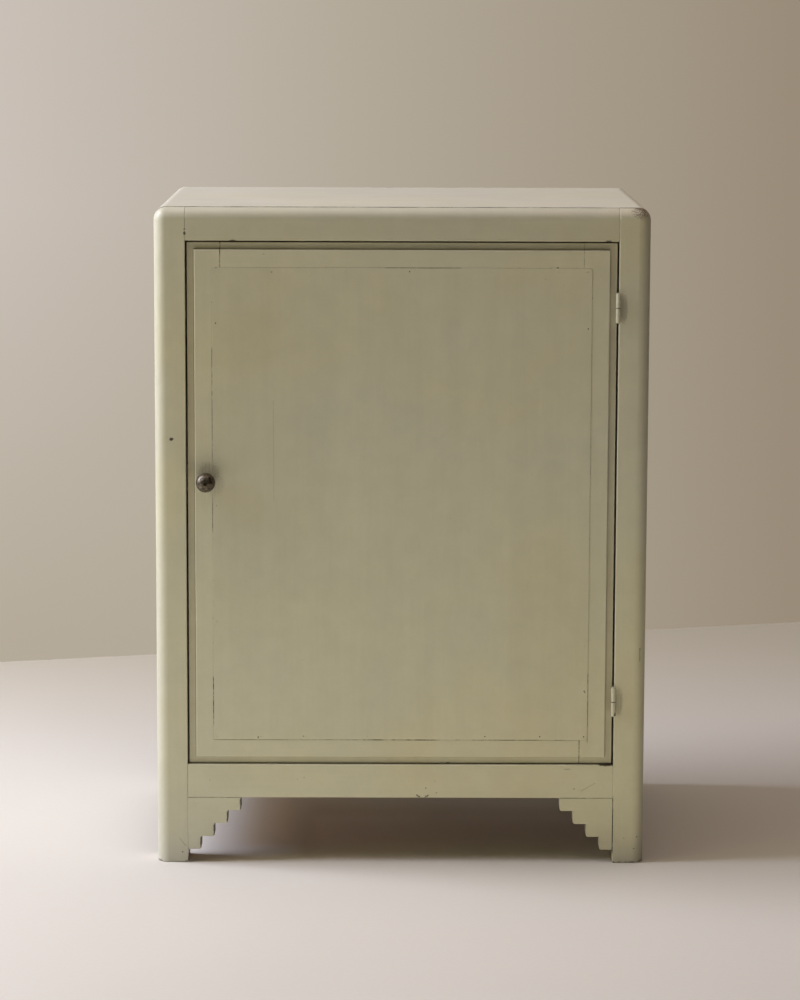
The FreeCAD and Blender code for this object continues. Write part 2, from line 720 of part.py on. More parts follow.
for which, height in HINGES:
    low = (f"{height} - hinge_height / 2", f"{height} - knuckle_gap / 2")
    high = (f"{height} + knuckle_gap / 2", f"{height} + hinge_height / 2")
    whole = (low[0], high[1])
    post_side = ("inner_x - leaf_thickness", "inner_x")
    post_leaf = hinge_leaf(f"{which}_hinge_post_leaf", post_side, whole, low, "-z")
    post_leaf.rod("Subtractive", ("hinge_x", "hinge_y", low[0]), "+z", "pin_diameter", "hinge_height")
    post_leaf.done(hinge_post_screws)
    door_side = ("door_right", "door_right + leaf_thickness")
    door_leaf = hinge_leaf(f"{which}_hinge_door_leaf", door_side, whole, high, "+z")
    door_leaf.rod(
        "Subtractive",
        ("hinge_x", "hinge_y", height),
        "+z",
        "pin_diameter + 2 * pin_clearance",
        "hinge_height / 2 - knuckle_cap",
    )
    door_leaf.done(hinge_door_screws)
    pin = Piece(f"{which}_hinge_pin", "hinge_x", "hinge_y", low[0])
    pin.rod("Additive", pin.corner, "+z", "pin_diameter", "hinge_height - knuckle_cap - knuckle_gap")
    pin.done()

# The door.

DOOR_DEPTH = ("front_y", "door_back")
DOOR_TENON = ("door_tenon_y", "door_tenon_y + tenon_thickness")
BORDER_DEPTH = ("front_y - overrun", "border_y")
REBATE_DEPTH = ("front_y - overrun", "rebate_y")
DOOR_WIDE = ("door_left - overrun", "door_right + overrun")
DOOR_TALL = ("door_bottom - overrun", "door_top + overrun")
TOP_BORDER = ("door_top - border_width", "door_top + overrun")
BOTTOM_BORDER = ("door_bottom - overrun", "door_bottom + border_width")
TOP_DOOR_TENON = ("top_rail_under + tenon_shoulder", "door_top - tenon_shoulder")
BOTTOM_DOOR_TENON = ("door_bottom + tenon_shoulder", "bottom_rail_over - tenon_shoulder")


def stile(name, x, border, field, rebate, corner, mortise):
    """An upright of the door, stepped on three edges, rebated for the panel and mortised for the rails."""
    upright = board(name, x, DOOR_DEPTH, ("door_bottom", "door_top"))
    upright.cut(border, BORDER_DEPTH, DOOR_TALL)
    upright.cut(DOOR_WIDE, BORDER_DEPTH, TOP_BORDER)
    upright.cut(DOOR_WIDE, BORDER_DEPTH, BOTTOM_BORDER)
    upright.round(
        "field_round",
        {"x": field, "y": "front_y"},
        {"y": "front_y", "z": TOP_BORDER[0]},
        {"y": "front_y", "z": BOTTOM_BORDER[1]},
    )
    upright.cut(rebate, REBATE_DEPTH, ("panel_bottom", "panel_top"))
    rebate_ends = ("panel_bottom", "panel_top")
    upright.round("panel_corner + panel_slack", *[{"x": corner, "z": z} for z in rebate_ends])
    for tenon in (TOP_DOOR_TENON, BOTTOM_DOOR_TENON):
        upright.cut(mortise, loose(DOOR_TENON), loose(tenon))
    return upright


left_stile = stile(
    "door_left_stile",
    ("door_left", "rail_left"),
    ("door_left - overrun", "field_left"),
    "field_left",
    ("panel_left", "rail_left + overrun"),
    "panel_left",
    ("rail_left - door_tenon_length - joint_relief", "rail_left + overrun"),
)
left_stile.rod(
    "Subtractive",
    ("knob_x", "front_y - overrun", "knob_height"),
    "+y",
    "spindle_diameter + 2 * spindle_clearance",
    "door_thickness + 2 * overrun",
)
left_stile.done(pin_holes)
stile(
    "door_right_stile",
    ("rail_right", "door_right"),
    ("door_right - border_width", "door_right + overrun"),
    "door_right - border_width",
    ("rail_right - overrun", "panel_right"),
    "panel_right",
    ("rail_right - overrun", "rail_right + door_tenon_length + joint_relief"),
).done(pin_holes, hinge_door_screws)


def door_rail(name, z, border, field, rebate, tenon):
    rail = board(name, ("rail_left", "rail_right"), DOOR_DEPTH, z)
    rail.cut(DOOR_WIDE, BORDER_DEPTH, border)
    rail.round("field_round", {"y": "front_y", "z": field})
    rail.cut(DOOR_WIDE, REBATE_DEPTH, rebate)
    rail.add(("rail_left - door_tenon_length", "rail_left + door_tenon_length"), DOOR_TENON, tenon)
    rail.add(("rail_right - door_tenon_length", "rail_right + door_tenon_length"), DOOR_TENON, tenon)
    rail.done(pin_holes)


door_rail(
    "door_top_rail",
    ("top_rail_under", "door_top"),
    TOP_BORDER,
    TOP_BORDER[0],
    ("top_rail_under - overrun", "panel_top"),
    TOP_DOOR_TENON,
)
door_rail(
    "door_bottom_rail",
    ("door_bottom", "bottom_rail_over"),
    BOTTOM_BORDER,
    BOTTOM_BORDER[1],
    ("panel_bottom", "bottom_rail_over + overrun"),
    BOTTOM_DOOR_TENON,
)

PANEL_X = ("panel_left + panel_slack", "panel_right - panel_slack")
PANEL_Z = ("panel_bottom + panel_slack", "panel_top - panel_slack")
panel = board("door_panel", PANEL_X, ("panel_face", "rebate_y"), PANEL_Z)
panel.round("panel_corner", *[{"x": x, "z": z} for x in PANEL_X for z in PANEL_Z])
panel.round("panel_round", {"y": "panel_face"})
panel.done(pin_holes)

# The latch: a ball knob on a spindle through the stile, with a tongue that turns behind the keeper.

SPINDLE_BORE = (("knob_x", "knob_front - overrun", "knob_height"), "+y", "spindle_diameter")

knob = Piece("knob", "knob_x", "front_y", "knob_height")
knob.feature("AdditiveSphere", ("knob_x", "ball_y", "knob_height"), Radius="knob_diameter / 2")
knob.cone(
    ("knob_x", "ball_y", "knob_height"),
    "+y",
    "neck_diameter",
    "neck_foot_diameter",
    "knob_reach - knob_diameter / 2 - latch_play",
)
knob.rod("Subtractive", *SPINDLE_BORE, "knob_reach + overrun")
knob.done()

spindle = Piece("latch_spindle", "knob_x", "knob_front + spindle_recess", "knob_height")
spindle.rod(
    "Additive",
    spindle.corner,
    "+y",
    "spindle_diameter",
    "nut_y + nut_thickness + spindle_tail - knob_front - spindle_recess",
)
spindle.done()

WASHER_FRONT = "door_back + latch_play"
washer = Piece("latch_washer", "knob_x", WASHER_FRONT, "knob_height")
washer.rod("Additive", washer.corner, "+y", "washer_diameter", f"tongue_y - ({WASHER_FRONT})")
washer.rod("Subtractive", washer.corner, "+y", "spindle_diameter", f"tongue_y - ({WASHER_FRONT})")
washer.done()

TONGUE_X = ("knob_x - tongue_width / 2", "knob_x + tongue_width / 2")
TONGUE_Z = ("knob_height - tongue_reach", "knob_height + tongue_width / 2")
tongue = board("latch_tongue", TONGUE_X, ("tongue_y", "nut_y"), TONGUE_Z)
tongue.round("tongue_round", *[{"x": x, "z": z} for x in TONGUE_X for z in TONGUE_Z])
tongue.rod("Subtractive", *SPINDLE_BORE, "nut_y - knob_front + 2 * overrun")
tongue.done()

nut = Piece("latch_nut", "knob_x", "nut_y", "knob_height")
prism = nut.feature("AdditivePrism", nut.corner, "+y", Circumradius="nut_width / 2", Height="nut_thickness")
prism.Polygon = NUT_SIDES
nut.rod("Subtractive", nut.corner, "+y", "spindle_diameter", "nut_thickness")
nut.done()

# Checks, then one file for each piece.

doc.recompute()
failed = [thing.Name for thing in doc.Objects if {"Invalid", "Error"} & set(thing.State)]
if failed:
    raise RuntimeError(f"failed objects: {failed}")
for node in nodes:
    if node.Shape.isNull() or not node.Shape.isValid() or not node.Shape.Solids:
        raise RuntimeError(f"{node.Label} has no valid solid")

os.makedirs("parts", exist_ok=True)
for node in nodes:
    solids = node.Shape.Solids
    shape = solids[0] if len(solids) == 1 else Part.makeCompound(solids)
    shape.exportStep(f"parts/{node.Label}.step")
print(f"{len(nodes)} nodes, {sum(len(node.Shape.Solids) for node in nodes)} solids")
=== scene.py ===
import math

import bpy
from mathutils import Matrix, Vector


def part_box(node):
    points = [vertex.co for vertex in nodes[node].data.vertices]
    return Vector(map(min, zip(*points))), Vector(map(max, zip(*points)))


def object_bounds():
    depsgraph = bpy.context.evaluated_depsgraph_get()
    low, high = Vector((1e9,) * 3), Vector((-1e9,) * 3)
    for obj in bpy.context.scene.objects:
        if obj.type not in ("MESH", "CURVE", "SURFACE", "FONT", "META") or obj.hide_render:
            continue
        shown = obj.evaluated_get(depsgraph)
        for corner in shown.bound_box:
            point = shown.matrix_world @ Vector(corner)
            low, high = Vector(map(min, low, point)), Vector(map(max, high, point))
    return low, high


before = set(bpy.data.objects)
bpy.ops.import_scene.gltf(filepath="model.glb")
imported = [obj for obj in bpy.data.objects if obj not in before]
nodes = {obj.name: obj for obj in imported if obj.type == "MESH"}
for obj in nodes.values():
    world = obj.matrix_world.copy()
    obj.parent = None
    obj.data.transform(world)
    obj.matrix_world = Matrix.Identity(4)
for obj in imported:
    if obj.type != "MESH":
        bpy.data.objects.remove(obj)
cad_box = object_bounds()

# Places in the part's frame, in metres.
MILLIMETRE = 0.001
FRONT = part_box("door_left_stile")[0].y
DOOR_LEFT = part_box("door_left_stile")[0].x
DOOR_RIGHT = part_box("door_right_stile")[1].x
DOOR_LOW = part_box("door_bottom_rail")[0].z
DOOR_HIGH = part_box("door_top_rail")[1].z
RAIL_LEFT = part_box("door_left_stile")[1].x
RAIL_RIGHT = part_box("door_right_stile")[0].x
PANEL_LOW, PANEL_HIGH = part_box("door_panel")
POST_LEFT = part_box("front_left_post")[1].x
POST_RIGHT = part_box("front_right_post")[0].x
OPENING_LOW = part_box("front_bottom_rail")[1].z
OPENING_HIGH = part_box("front_top_rail")[0].z
CASE_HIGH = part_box("top_board")[1].z
TOP_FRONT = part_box("top_board")[0].y
BRACKET_LOW, BRACKET_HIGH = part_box("left_foot_bracket")
BRACKET_STEPS = 4
LEG = BRACKET_HIGH.z
HINGES = ("upper", "lower")
HINGE_ENDS = [
    (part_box(f"{which}_hinge_post_leaf")[0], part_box(f"{which}_hinge_door_leaf")[1])
    for which in HINGES
]
HINGE_JOINTS = [(low.z + high.z) / 2 for low, high in HINGE_ENDS]
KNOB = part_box("knob")[0].lerp(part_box("knob")[1], 0.5)
BORDER = 9.5 * MILLIMETRE
BORDER_DEPTH = 5.0 * MILLIMETRE
MARK_DEPTH = 20.0 * MILLIMETRE
MARK_FADE = 6.0 * MILLIMETRE

# Colours are linear.
SAGE = (0.637, 0.616, 0.497)
SAGE_GREY = (0.607, 0.595, 0.507)
SAGE_OLIVE = (0.650, 0.610, 0.452)
SAGE_HINGE = (0.56, 0.54, 0.45)
PRIMER_AND_HIGHLIGHT = (0.80, 0.78, 0.68)
DUST_AND_SHEEN = (0.74, 0.72, 0.67)
GRIME_AND_SHADE = (0.055, 0.043, 0.030)
SOOT = (0.022, 0.018, 0.014)
BROWN = (0.16, 0.085, 0.042)
TEA = (0.45, 0.36, 0.14)
WOOD_PALE = (0.40, 0.255, 0.135)
WOOD_DARK = (0.215, 0.118, 0.055)
PLY_PALE = (0.47, 0.32, 0.18)
PLY_DARK = (0.33, 0.20, 0.105)
STEEL = (0.42, 0.40, 0.37)
DARK_STEEL = (0.20, 0.18, 0.16)
KNOB_STEEL = (0.180, 0.155, 0.125)
KNOB_PATINA = (0.038, 0.031, 0.025)
RUST = (0.115, 0.050, 0.022)
FLOOR = (0.805, 0.765, 0.718)
FLOOR_FAR_SHADE = (0.67, 0.615, 0.505)
FLOOR_UNDER_LIGHT = (0.92, 0.89, 0.92)
FLOOR_UNDER_LEFT_SHADE = (0.74, 0.63, 0.50)


class Nodes:
    """Short calls for the nodes of one tree."""

    def __init__(self, tree):
        self.tree = tree
        tree.nodes.clear()

    def new(self, kind, **settings):
        node = self.tree.nodes.new(kind)
        for name, setting in settings.items():
            setattr(node, name, setting)
        return node

    def put(self, socket, thing):
        if isinstance(thing, bpy.types.NodeSocket):
            self.tree.links.new(thing, socket)
        elif socket.type == "RGBA" and not isinstance(thing, (int, float)):
            socket.default_value = (*thing[:3], 1.0)
        else:
            socket.default_value = thing

    def math(self, operation, *things, clamp=False):
        node = self.new("ShaderNodeMath", operation=operation, use_clamp=clamp)
        for socket, thing in zip(node.inputs, things):
            self.put(socket, thing)
        return node.outputs[0]

    def scale(self, thing, factor):
        return self.math("MULTIPLY", thing, factor)

    def ramp(self, thing, low, high, start=0.0, end=1.0, smooth=True):
        """The value mapped from low..high to start..end, held at both ends."""
        kind = "SMOOTHSTEP" if smooth else "LINEAR"
        node = self.new("ShaderNodeMapRange", interpolation_type=kind, clamp=True)
        for socket, value in zip(node.inputs, (thing, low, high, start, end)):
            self.put(socket, value)
        return node.outputs[0]

    def mix(self, share, first, second, blend="MIX"):
        node = self.new("ShaderNodeMix", data_type="RGBA", blend_type=blend)
        for number, thing in ((0, share), (6, first), (7, second)):
            self.put(node.inputs[number], thing)
        return node.outputs[2]

    def vector(self, operation, *things):
        node = self.new("ShaderNodeVectorMath", operation=operation)
        for socket, thing in zip(node.inputs, things):
            self.put(socket, thing)
        return node.outputs["Value" if operation in ("DOT_PRODUCT", "DISTANCE") else "Vector"]

    def split(self, vector):
        node = self.new("ShaderNodeSeparateXYZ")
        self.put(node.inputs[0], vector)
        return dict(zip("xyz", node.outputs))

    def any(self, *masks):
        whole = masks[0]
        for mask in masks[1:]:
            whole = self.math("MAXIMUM", whole, mask)
        return whole

    def both(self, *masks):
        whole = masks[0]
        for mask in masks[1:]:
            whole = self.math("MULTIPLY", whole, mask)
        return whole


class Shader(Nodes):
    """A material on one principled shader, over the object's own coordinates."""

    def __init__(self, name):
        self.material = bpy.data.materials.new(name)
        self.material.use_nodes = True
        super().__init__(self.material.node_tree)
        self.surface = self.new("ShaderNodeBsdfPrincipled")
        output = self.new("ShaderNodeOutputMaterial")
        self.tree.links.new(self.surface.outputs[0], output.inputs["Surface"])
        self.place = self.new("ShaderNodeTexCoord").outputs["Object"]
        self.axis = self.split(self.place)
        self.rough = None
        self.skin = None

    def set(self, **inputs):
        for name, thing in inputs.items():
            self.put(self.surface.inputs[name.replace("_", " ").title()], thing)

    def noise(self, scale, detail=2.0, roughness=0.5, stretch=None, shift=None, distortion=0.0):
        """Noise over the object, drawn out where stretch is under one."""
        place = self.place
        if stretch:
            place = self.vector("MULTIPLY", place, stretch)
        if shift:
            place = self.vector("ADD", place, shift)
        node = self.new("ShaderNodeTexNoise")
        settings = {"Vector": place, "Scale": scale, "Detail": detail, "Roughness": roughness}
        for name, thing in settings.items():
            self.put(node.inputs[name], thing)
        self.put(node.inputs["Distortion"], distortion)
        return node.outputs["Fac"]

    def cells(self, scale):
        """The distance to the nearest of many scattered points, and a random number for each."""
        node = self.new("ShaderNodeTexVoronoi")
        self.put(node.inputs["Vector"], self.place)
        self.put(node.inputs["Scale"], scale)
        return node.outputs["Distance"], self.split(node.outputs["Color"])["x"]

    def near(self, axis, level, inner, outer):
        """One within the inner distance of a level along an axis, and zero past the outer one."""
        away = self.math("ABSOLUTE", self.math("SUBTRACT", self.axis[axis], level))
        return self.ramp(away, outer, inner)

    def within(self, axis, low, high, soft):
        """One between two levels along an axis, with soft ends."""
        half = (high - low) / 2
        return self.near(axis, low + half, half, half + soft)

    def outside(self, low, high):
        """How far a point of the front lies outside a rectangle of x and z, negative inside."""
        ways = []
        for axis, start, end in (("x", low[0], high[0]), ("z", low[1], high[1])):
            away = self.math("ABSOLUTE", self.math("SUBTRACT", self.axis[axis], (start + end) / 2))
            ways.append(self.math("SUBTRACT", away, (end - start) / 2))
        return self.math("MAXIMUM", *ways)

    def ragged(self, amount):
        if self.rough is None:
            self.rough = self.noise(600.0)
        return self.ramp(self.rough, 0.3, 0.7, -amount, amount, smooth=False)

    def front(self, mask):
        """A mask kept to the front of the cupboard and its rounded edges."""
        if self.skin is None:
            self.skin = self.ramp(self.axis["y"], FRONT + MARK_DEPTH, FRONT + MARK_DEPTH - MARK_FADE)
        return self.both(mask, self.skin)

    def blot(self, place, radii, ragged=0.35):
        """A soft-edged, ragged spot on the front, about a place of x and z."""
        away = self.vector("SUBTRACT", self.place, (place[0], 0.0, place[1]))
        away = self.vector("MULTIPLY", away, (1 / radii[0], 0.0, 1 / radii[1]))
        away = self.vector("DISTANCE", away, (0.0, 0.0, 0.0))
        return self.front(self.ramp(self.math("ADD", away, self.ragged(ragged)), 1.0, 0.55))

    def scratch(self, start, end, width):
        """A line on the front, between two places of x and z."""
        first, last = Vector((start[0], 0.0, start[1])), Vector((end[0], 0.0, end[1]))
        along = last - first
        flat = self.vector("MULTIPLY", self.place, (1.0, 0.0, 1.0))
        away = self.vector("SUBTRACT", flat, first[:])
        share = self.vector("DOT_PRODUCT", away, (along / along.length_squared)[:])
        share = self.math("ADD", share, 0.0, clamp=True)
        part = self.new("ShaderNodeVectorMath", operation="SCALE")
        self.put(part.inputs[0], along[:])
        self.put(part.inputs["Scale"], share)
        away = self.vector("DISTANCE", away, part.outputs["Vector"])
        return self.front(self.ramp(self.math("ADD", away, self.ragged(width * 0.4)), width, width * 0.4))

    def bump(self, height, distance, normal=None):
        node = self.new("ShaderNodeBump")
        node.inputs["Distance"].default_value = distance
        self.put(node.inputs["Height"], height)
        if normal is not None:
            self.put(node.inputs["Normal"], normal)
        return node.outputs[0]

    def bevelled(self, radius, filled=()):
        """The surface's direction with its edges rounded off, and a mask that is one on the edges.

        Filled joints, each an upright line of x from one z to another, stay flat.
        """
        node = self.new("ShaderNodeBevel", samples=4)
        node.inputs["Radius"].default_value = radius
        rounded = node.outputs[0]
        plain = self.new("ShaderNodeNewGeometry").outputs["Normal"]
        for level, low, high in filled:
            line = self.near("x", level, 2.0 * MILLIMETRE, 3.0 * MILLIMETRE)
            rounded = self.mix(self.both(line, self.within("z", low, high, MILLIMETRE)), rounded, plain)
        same = self.vector("DOT_PRODUCT", rounded, plain)
        return rounded, self.ramp(same, 0.995, 0.86)

    def crevices(self, distance):
        """One in corners and narrow gaps, zero in the open."""
        node = self.new("ShaderNodeAmbientOcclusion", samples=4)
        node.inputs["Distance"].default_value = distance
        return self.ramp(node.outputs["AO"], 0.75, 0.25)


ALONG = {"x": (0.045, 1.0, 1.0), "y": (1.0, 0.045, 1.0), "z": (1.0, 1.0, 0.045)}


def wood_grain(shader, along, pale, dark):
    """Colour and height of bare wood, with its grain along an axis."""
    stretch = ALONG[along]
    rings = shader.noise(26.0, 3.0, 0.55, stretch, distortion=0.6)
    pores = shader.noise(420.0, 2.0, 0.6, stretch)
    stain = shader.noise(5.0, 3.0, 0.55)
    band = shader.ramp(shader.math("PINGPONG", shader.scale(rings, 7.0), 1.0), 0.15, 0.9)
    colour = shader.mix(band, pale, dark)
    colour = shader.mix(shader.ramp(pores, 0.52, 0.72, 0.0, 0.45), colour, dark)
    colour = shader.mix(shader.ramp(stain, 0.45, 0.72, 0.0, 0.35), colour, GRIME_AND_SHADE)
    return colour, shader.math("ADD", shader.scale(band, 0.5), pores)


class Paint(Shader):
    """Brushed satin paint over wood, with its wear and soiling, and painted shade in its corners and gaps."""

    def __init__(self, name, along, knocks=0.5, grime_and_shade=0.6, filled=()):
        super().__init__(name)
        self.along = along
        self.holes = []
        stretch = ALONG[along]
        cloud = self.noise(2.6, 3.0, 0.55)
        patch = self.noise(11.0, 3.0, 0.6, shift=(3.1, 1.7, 0.4))
        mottle = self.noise(34.0, 4.0, 0.65, shift=(1.9, 0.2, 2.6))
        self.streak = self.noise(210.0, 3.0, 0.65, stretch)
        broad = self.noise(38.0, 2.0, 0.5, stretch, shift=(0.7, 2.2, 1.3))
        fine = self.noise(900.0, 2.0, 0.6)

        colour = self.mix(self.ramp(cloud, 0.38, 0.64), SAGE_GREY, SAGE_OLIVE)
        colour = self.mix(self.ramp(patch, 0.35, 0.65, 0.65, 0.2), colour, SAGE)
        shade = self.ramp(broad, 0.3, 0.7, 0.985, 1.012)
        for part, low, high in ((self.streak, -0.009, 0.009), (fine, -0.012, 0.012), (mottle, -0.026, 0.020)):
            shade = self.math("ADD", shade, self.ramp(part, 0.3, 0.7, low, high))
        self.colour = self.mix(1.0, colour, shade, "MULTIPLY")

        self.rounded, edge = self.bevelled(0.9 * MILLIMETRE, filled)
        worn = self.both(edge, self.ramp(self.noise(46.0, 4.0, 0.7), 0.42, 0.62))
        self.tint(self.scale(worn, 0.35), PRIMER_AND_HIGHLIGHT)
        chipped = self.ramp(self.noise(120.0, 3.0, 0.65, shift=(5.0, 0.0, 2.0)), 0.61, 0.66)
        chipped = self.math("MULTIPLY", self.both(edge, chipped), knocks * 1.6, clamp=True)
        self.tint(chipped, self.mix(self.ramp(self.streak, 0.35, 0.65), WOOD_DARK, GRIME_AND_SHADE))
        distance, chance = self.cells(60.0)
        speck = self.both(self.ramp(distance, 0.045, 0.02), self.ramp(chance, 0.92, 0.94))
        self.tint(self.scale(speck, 0.45), GRIME_AND_SHADE)
        # Soiling and painted shade: darker in corners and narrow gaps, where shade falls.
        dirt_and_shade = self.ramp(self.noise(24.0, 4.0, 0.7), 0.25, 0.7, 0.35, 1.0)
        self.tint(self.scale(self.both(self.crevices(5.0 * MILLIMETRE), dirt_and_shade), grime_and_shade), GRIME_AND_SHADE)

        self.height = self.math("ADD", self.scale(self.streak, 0.5), self.scale(broad, 0.5))
        self.gloss = self.ramp(self.math("ADD", self.streak, patch), 0.7, 1.3, 0.34, 0.48)

    def tint(self, mask, colour):
        self.colour = self.mix(mask, self.colour, colour)
        return self

    def hole(self, mask, colour):
        """A break in the paint: a colour, and a pit."""
        self.holes.append(mask)
        return self.tint(mask, colour)

    def spots(self, *spots, colour=GRIME_AND_SHADE):
        """Dark spots: x, z, half width and half height in millimetres, and strength."""
        for x, z, wide, tall, strength in spots:
            mask = self.blot((x, z), (wide * MILLIMETRE, tall * MILLIMETRE))
            self.hole(self.scale(mask, strength), colour)
        return self

    def scratches_and_shadows(self, *lines, colour=GRIME_AND_SHADE):
        """Thin lines: both ends, width in millimetres, and strength."""
        for start, end, width, strength in lines:
            self.hole(self.scale(self.scratch(start, end, width * MILLIMETRE), strength), colour)
        return self

    def cracks(self, *lines):
        """Broken hairlines along joints: axis and level, the span along the other axis, and strength."""
        broken = self.ramp(self.noise(70.0, 4.0, 0.7), 0.36, 0.58, 0.15, 1.0)
        for axis, level, low, high, strength in lines:
            other = "z" if axis == "x" else "x"
            line = self.near(axis, level, 0.3 * MILLIMETRE, 0.9 * MILLIMETRE)
            line = self.both(line, self.within(other, low, high, 6.0 * MILLIMETRE), broken)
            self.hole(self.scale(self.front(line), strength), SOOT)
        return self

    def smudge_and_shadow(self, place, radii, strength):
        """A soft, streaky dark patch, for soiling and for painted shadow."""
        soft = self.blot(place, [radius * MILLIMETRE for radius in radii], 0.2)
        streaks = self.ramp(self.noise(330.0, 3.0, 0.7, ALONG["z"]), 0.32, 0.66, 0.55, 1.0)
        return self.tint(self.scale(self.both(soft, streaks), strength), GRIME_AND_SHADE)

    def speckle(self, place, radii, strength):
        """A patch worn through in many small flecks."""
        patch = self.blot(place, [radius * MILLIMETRE for radius in radii], 0.3)
        flecks = self.ramp(self.noise(700.0, 4.0, 0.75, shift=(0.4, 2.0, 7.0)), 0.46, 0.52)
        return self.tint(self.scale(self.both(patch, flecks), strength), self.mix(self.streak, SOOT, BROWN))

    def foot(self, strength):
        """Rubbed, dirty wood at the very end of a leg."""
        rubbed = self.ramp(self.axis["z"], 3.2 * MILLIMETRE, 0.4 * MILLIMETRE)
        broken = self.ramp(self.noise(150.0, 3.0, 0.7, shift=(0.0, 3.0, 0.0)), 0.42, 0.60)
        return self.hole(self.scale(self.both(rubbed, broken), strength), GRIME_AND_SHADE)

    def lit_arris(self, axis, level, strength):
        """A paler line along an edge of the front: a painted highlight where the edge catches the light."""
        line = self.near(axis, level, 0.4 * MILLIMETRE, 1.3 * MILLIMETRE)
        front = self.ramp(self.axis["y"], FRONT + 2.0 * MILLIMETRE, FRONT + 0.5 * MILLIMETRE)
        uneven = self.ramp(self.noise(33.0, 4.0, 0.7), 0.3, 0.6, 0.3, 1.0)
        return self.tint(self.scale(self.both(line, front, uneven), strength), PRIMER_AND_HIGHLIGHT)

    def recess_shade(self, low, high):
        """Painted shade in the stepped border round a field, with a painted shadow line along its inner
        corner.
        """
        deep = self.near("y", FRONT + BORDER_DEPTH, 0.5 * MILLIMETRE, 3.3 * MILLIMETRE)
        uneven = self.ramp(self.noise(19.0, 4.0, 0.7), 0.3, 0.7, 0.55, 1.0)
        self.tint(self.scale(self.both(deep, uneven), 0.17), BROWN)
        corner = self.ramp(self.outside(low, high), 1.7 * MILLIMETRE, 0.3 * MILLIMETRE)
        return self.tint(self.scale(self.both(deep, corner, uneven), 0.42), GRIME_AND_SHADE)

    def looking(self, names):
        """A mask of the faces that look along any of the directions, such as +x or -z."""
        facing = self.split(self.new("ShaderNodeNewGeometry").outputs["True Normal"])
        found = []
        for name in names:
            sign = 1.0 if name[0] == "+" else -1.0
            found.append(self.ramp(facing[name[1]], 0.55 * sign, 0.75 * sign))
        return self.any(*found)

    def bare(self, names, depth=None):
        """Faces with no paint, behind a ragged edge where a depth is given."""
        mask = self.looking(names)
        if depth is not None:
            reach = 4.0 * MILLIMETRE
            ragged = self.ramp(self.noise(70.0, 3.0, 0.6), 0.3, 0.7, depth - reach, depth + reach)
            past = self.math("SUBTRACT", self.axis["y"], ragged)
            mask = self.both(mask, self.ramp(past, 0.0, 1.5 * MILLIMETRE))
        grain, relief = wood_grain(self, self.along, WOOD_PALE, WOOD_DARK)
        self.height = self.ramp(mask, 0.0, 1.0, self.height, relief)
        self.gloss = self.ramp(mask, 0.0, 1.0, self.gloss, 0.72)
        return self.tint(mask, grain)

    def done(self):
        normal = self.bump(self.height, 0.11 * MILLIMETRE, self.rounded)
        if self.holes:
            whole = self.math("SUBTRACT", 1.0, self.any(*self.holes))
            normal = self.bump(whole, 0.35 * MILLIMETRE, normal)
        self.set(base_color=self.colour, roughness=self.gloss, normal=normal)
        return self.material


def bare_wood(name, along, pale=WOOD_PALE, dark=WOOD_DARK):
    s = Shader(name)
    rounded, edge = s.bevelled(1.0 * MILLIMETRE)
    colour, relief = wood_grain(s, along, pale, dark)
    colour = s.mix(s.scale(s.both(edge, s.ramp(s.noise(60.0, 3.0), 0.35, 0.65)), 0.5), colour, dark)
    # Soiling and painted shade: darker in corners and narrow gaps.
    dirt_and_shade = s.both(s.crevices(14.0 * MILLIMETRE), s.ramp(s.noise(18.0, 4.0, 0.7), 0.3, 0.7, 0.3, 1.0))
    colour = s.mix(s.scale(dirt_and_shade, 0.6), colour, GRIME_AND_SHADE)
    s.set(base_color=colour, roughness=s.ramp(relief, 0.4, 1.2, 0.60, 0.78))
    s.set(normal=s.bump(relief, 0.12 * MILLIMETRE, rounded))
    return s.material


def metal(name, pale, dark, low, high, rust=0.0, patina_scale=170.0):
    s = Shader(name)
    rounded, edge = s.bevelled(0.4 * MILLIMETRE)
    patina = s.noise(patina_scale, 4.0, 0.62)
    fine = s.noise(1400.0, 3.0, 0.6)
    colour = s.mix(s.ramp(patina, 0.35, 0.68), pale, dark)
    colour = s.mix(s.scale(edge, 0.5), colour, pale)
    s.set(metallic=1.0)
    roughness = s.ramp(s.math("ADD", patina, fine), 0.7, 1.3, low, high)
    if rust:
        spots = s.ramp(s.noise(330.0, 4.0, 0.7), 0.66 - 0.2 * rust, 0.74 - 0.2 * rust)
        colour = s.mix(spots, colour, RUST)
        s.set(metallic=s.ramp(spots, 0.0, 1.0, 1.0, 0.15))
        roughness = s.math("ADD", roughness, s.scale(spots, 0.35))
    s.set(base_color=colour, roughness=roughness)
    s.set(normal=s.bump(fine, 0.02 * MILLIMETRE, rounded))
    return s.material


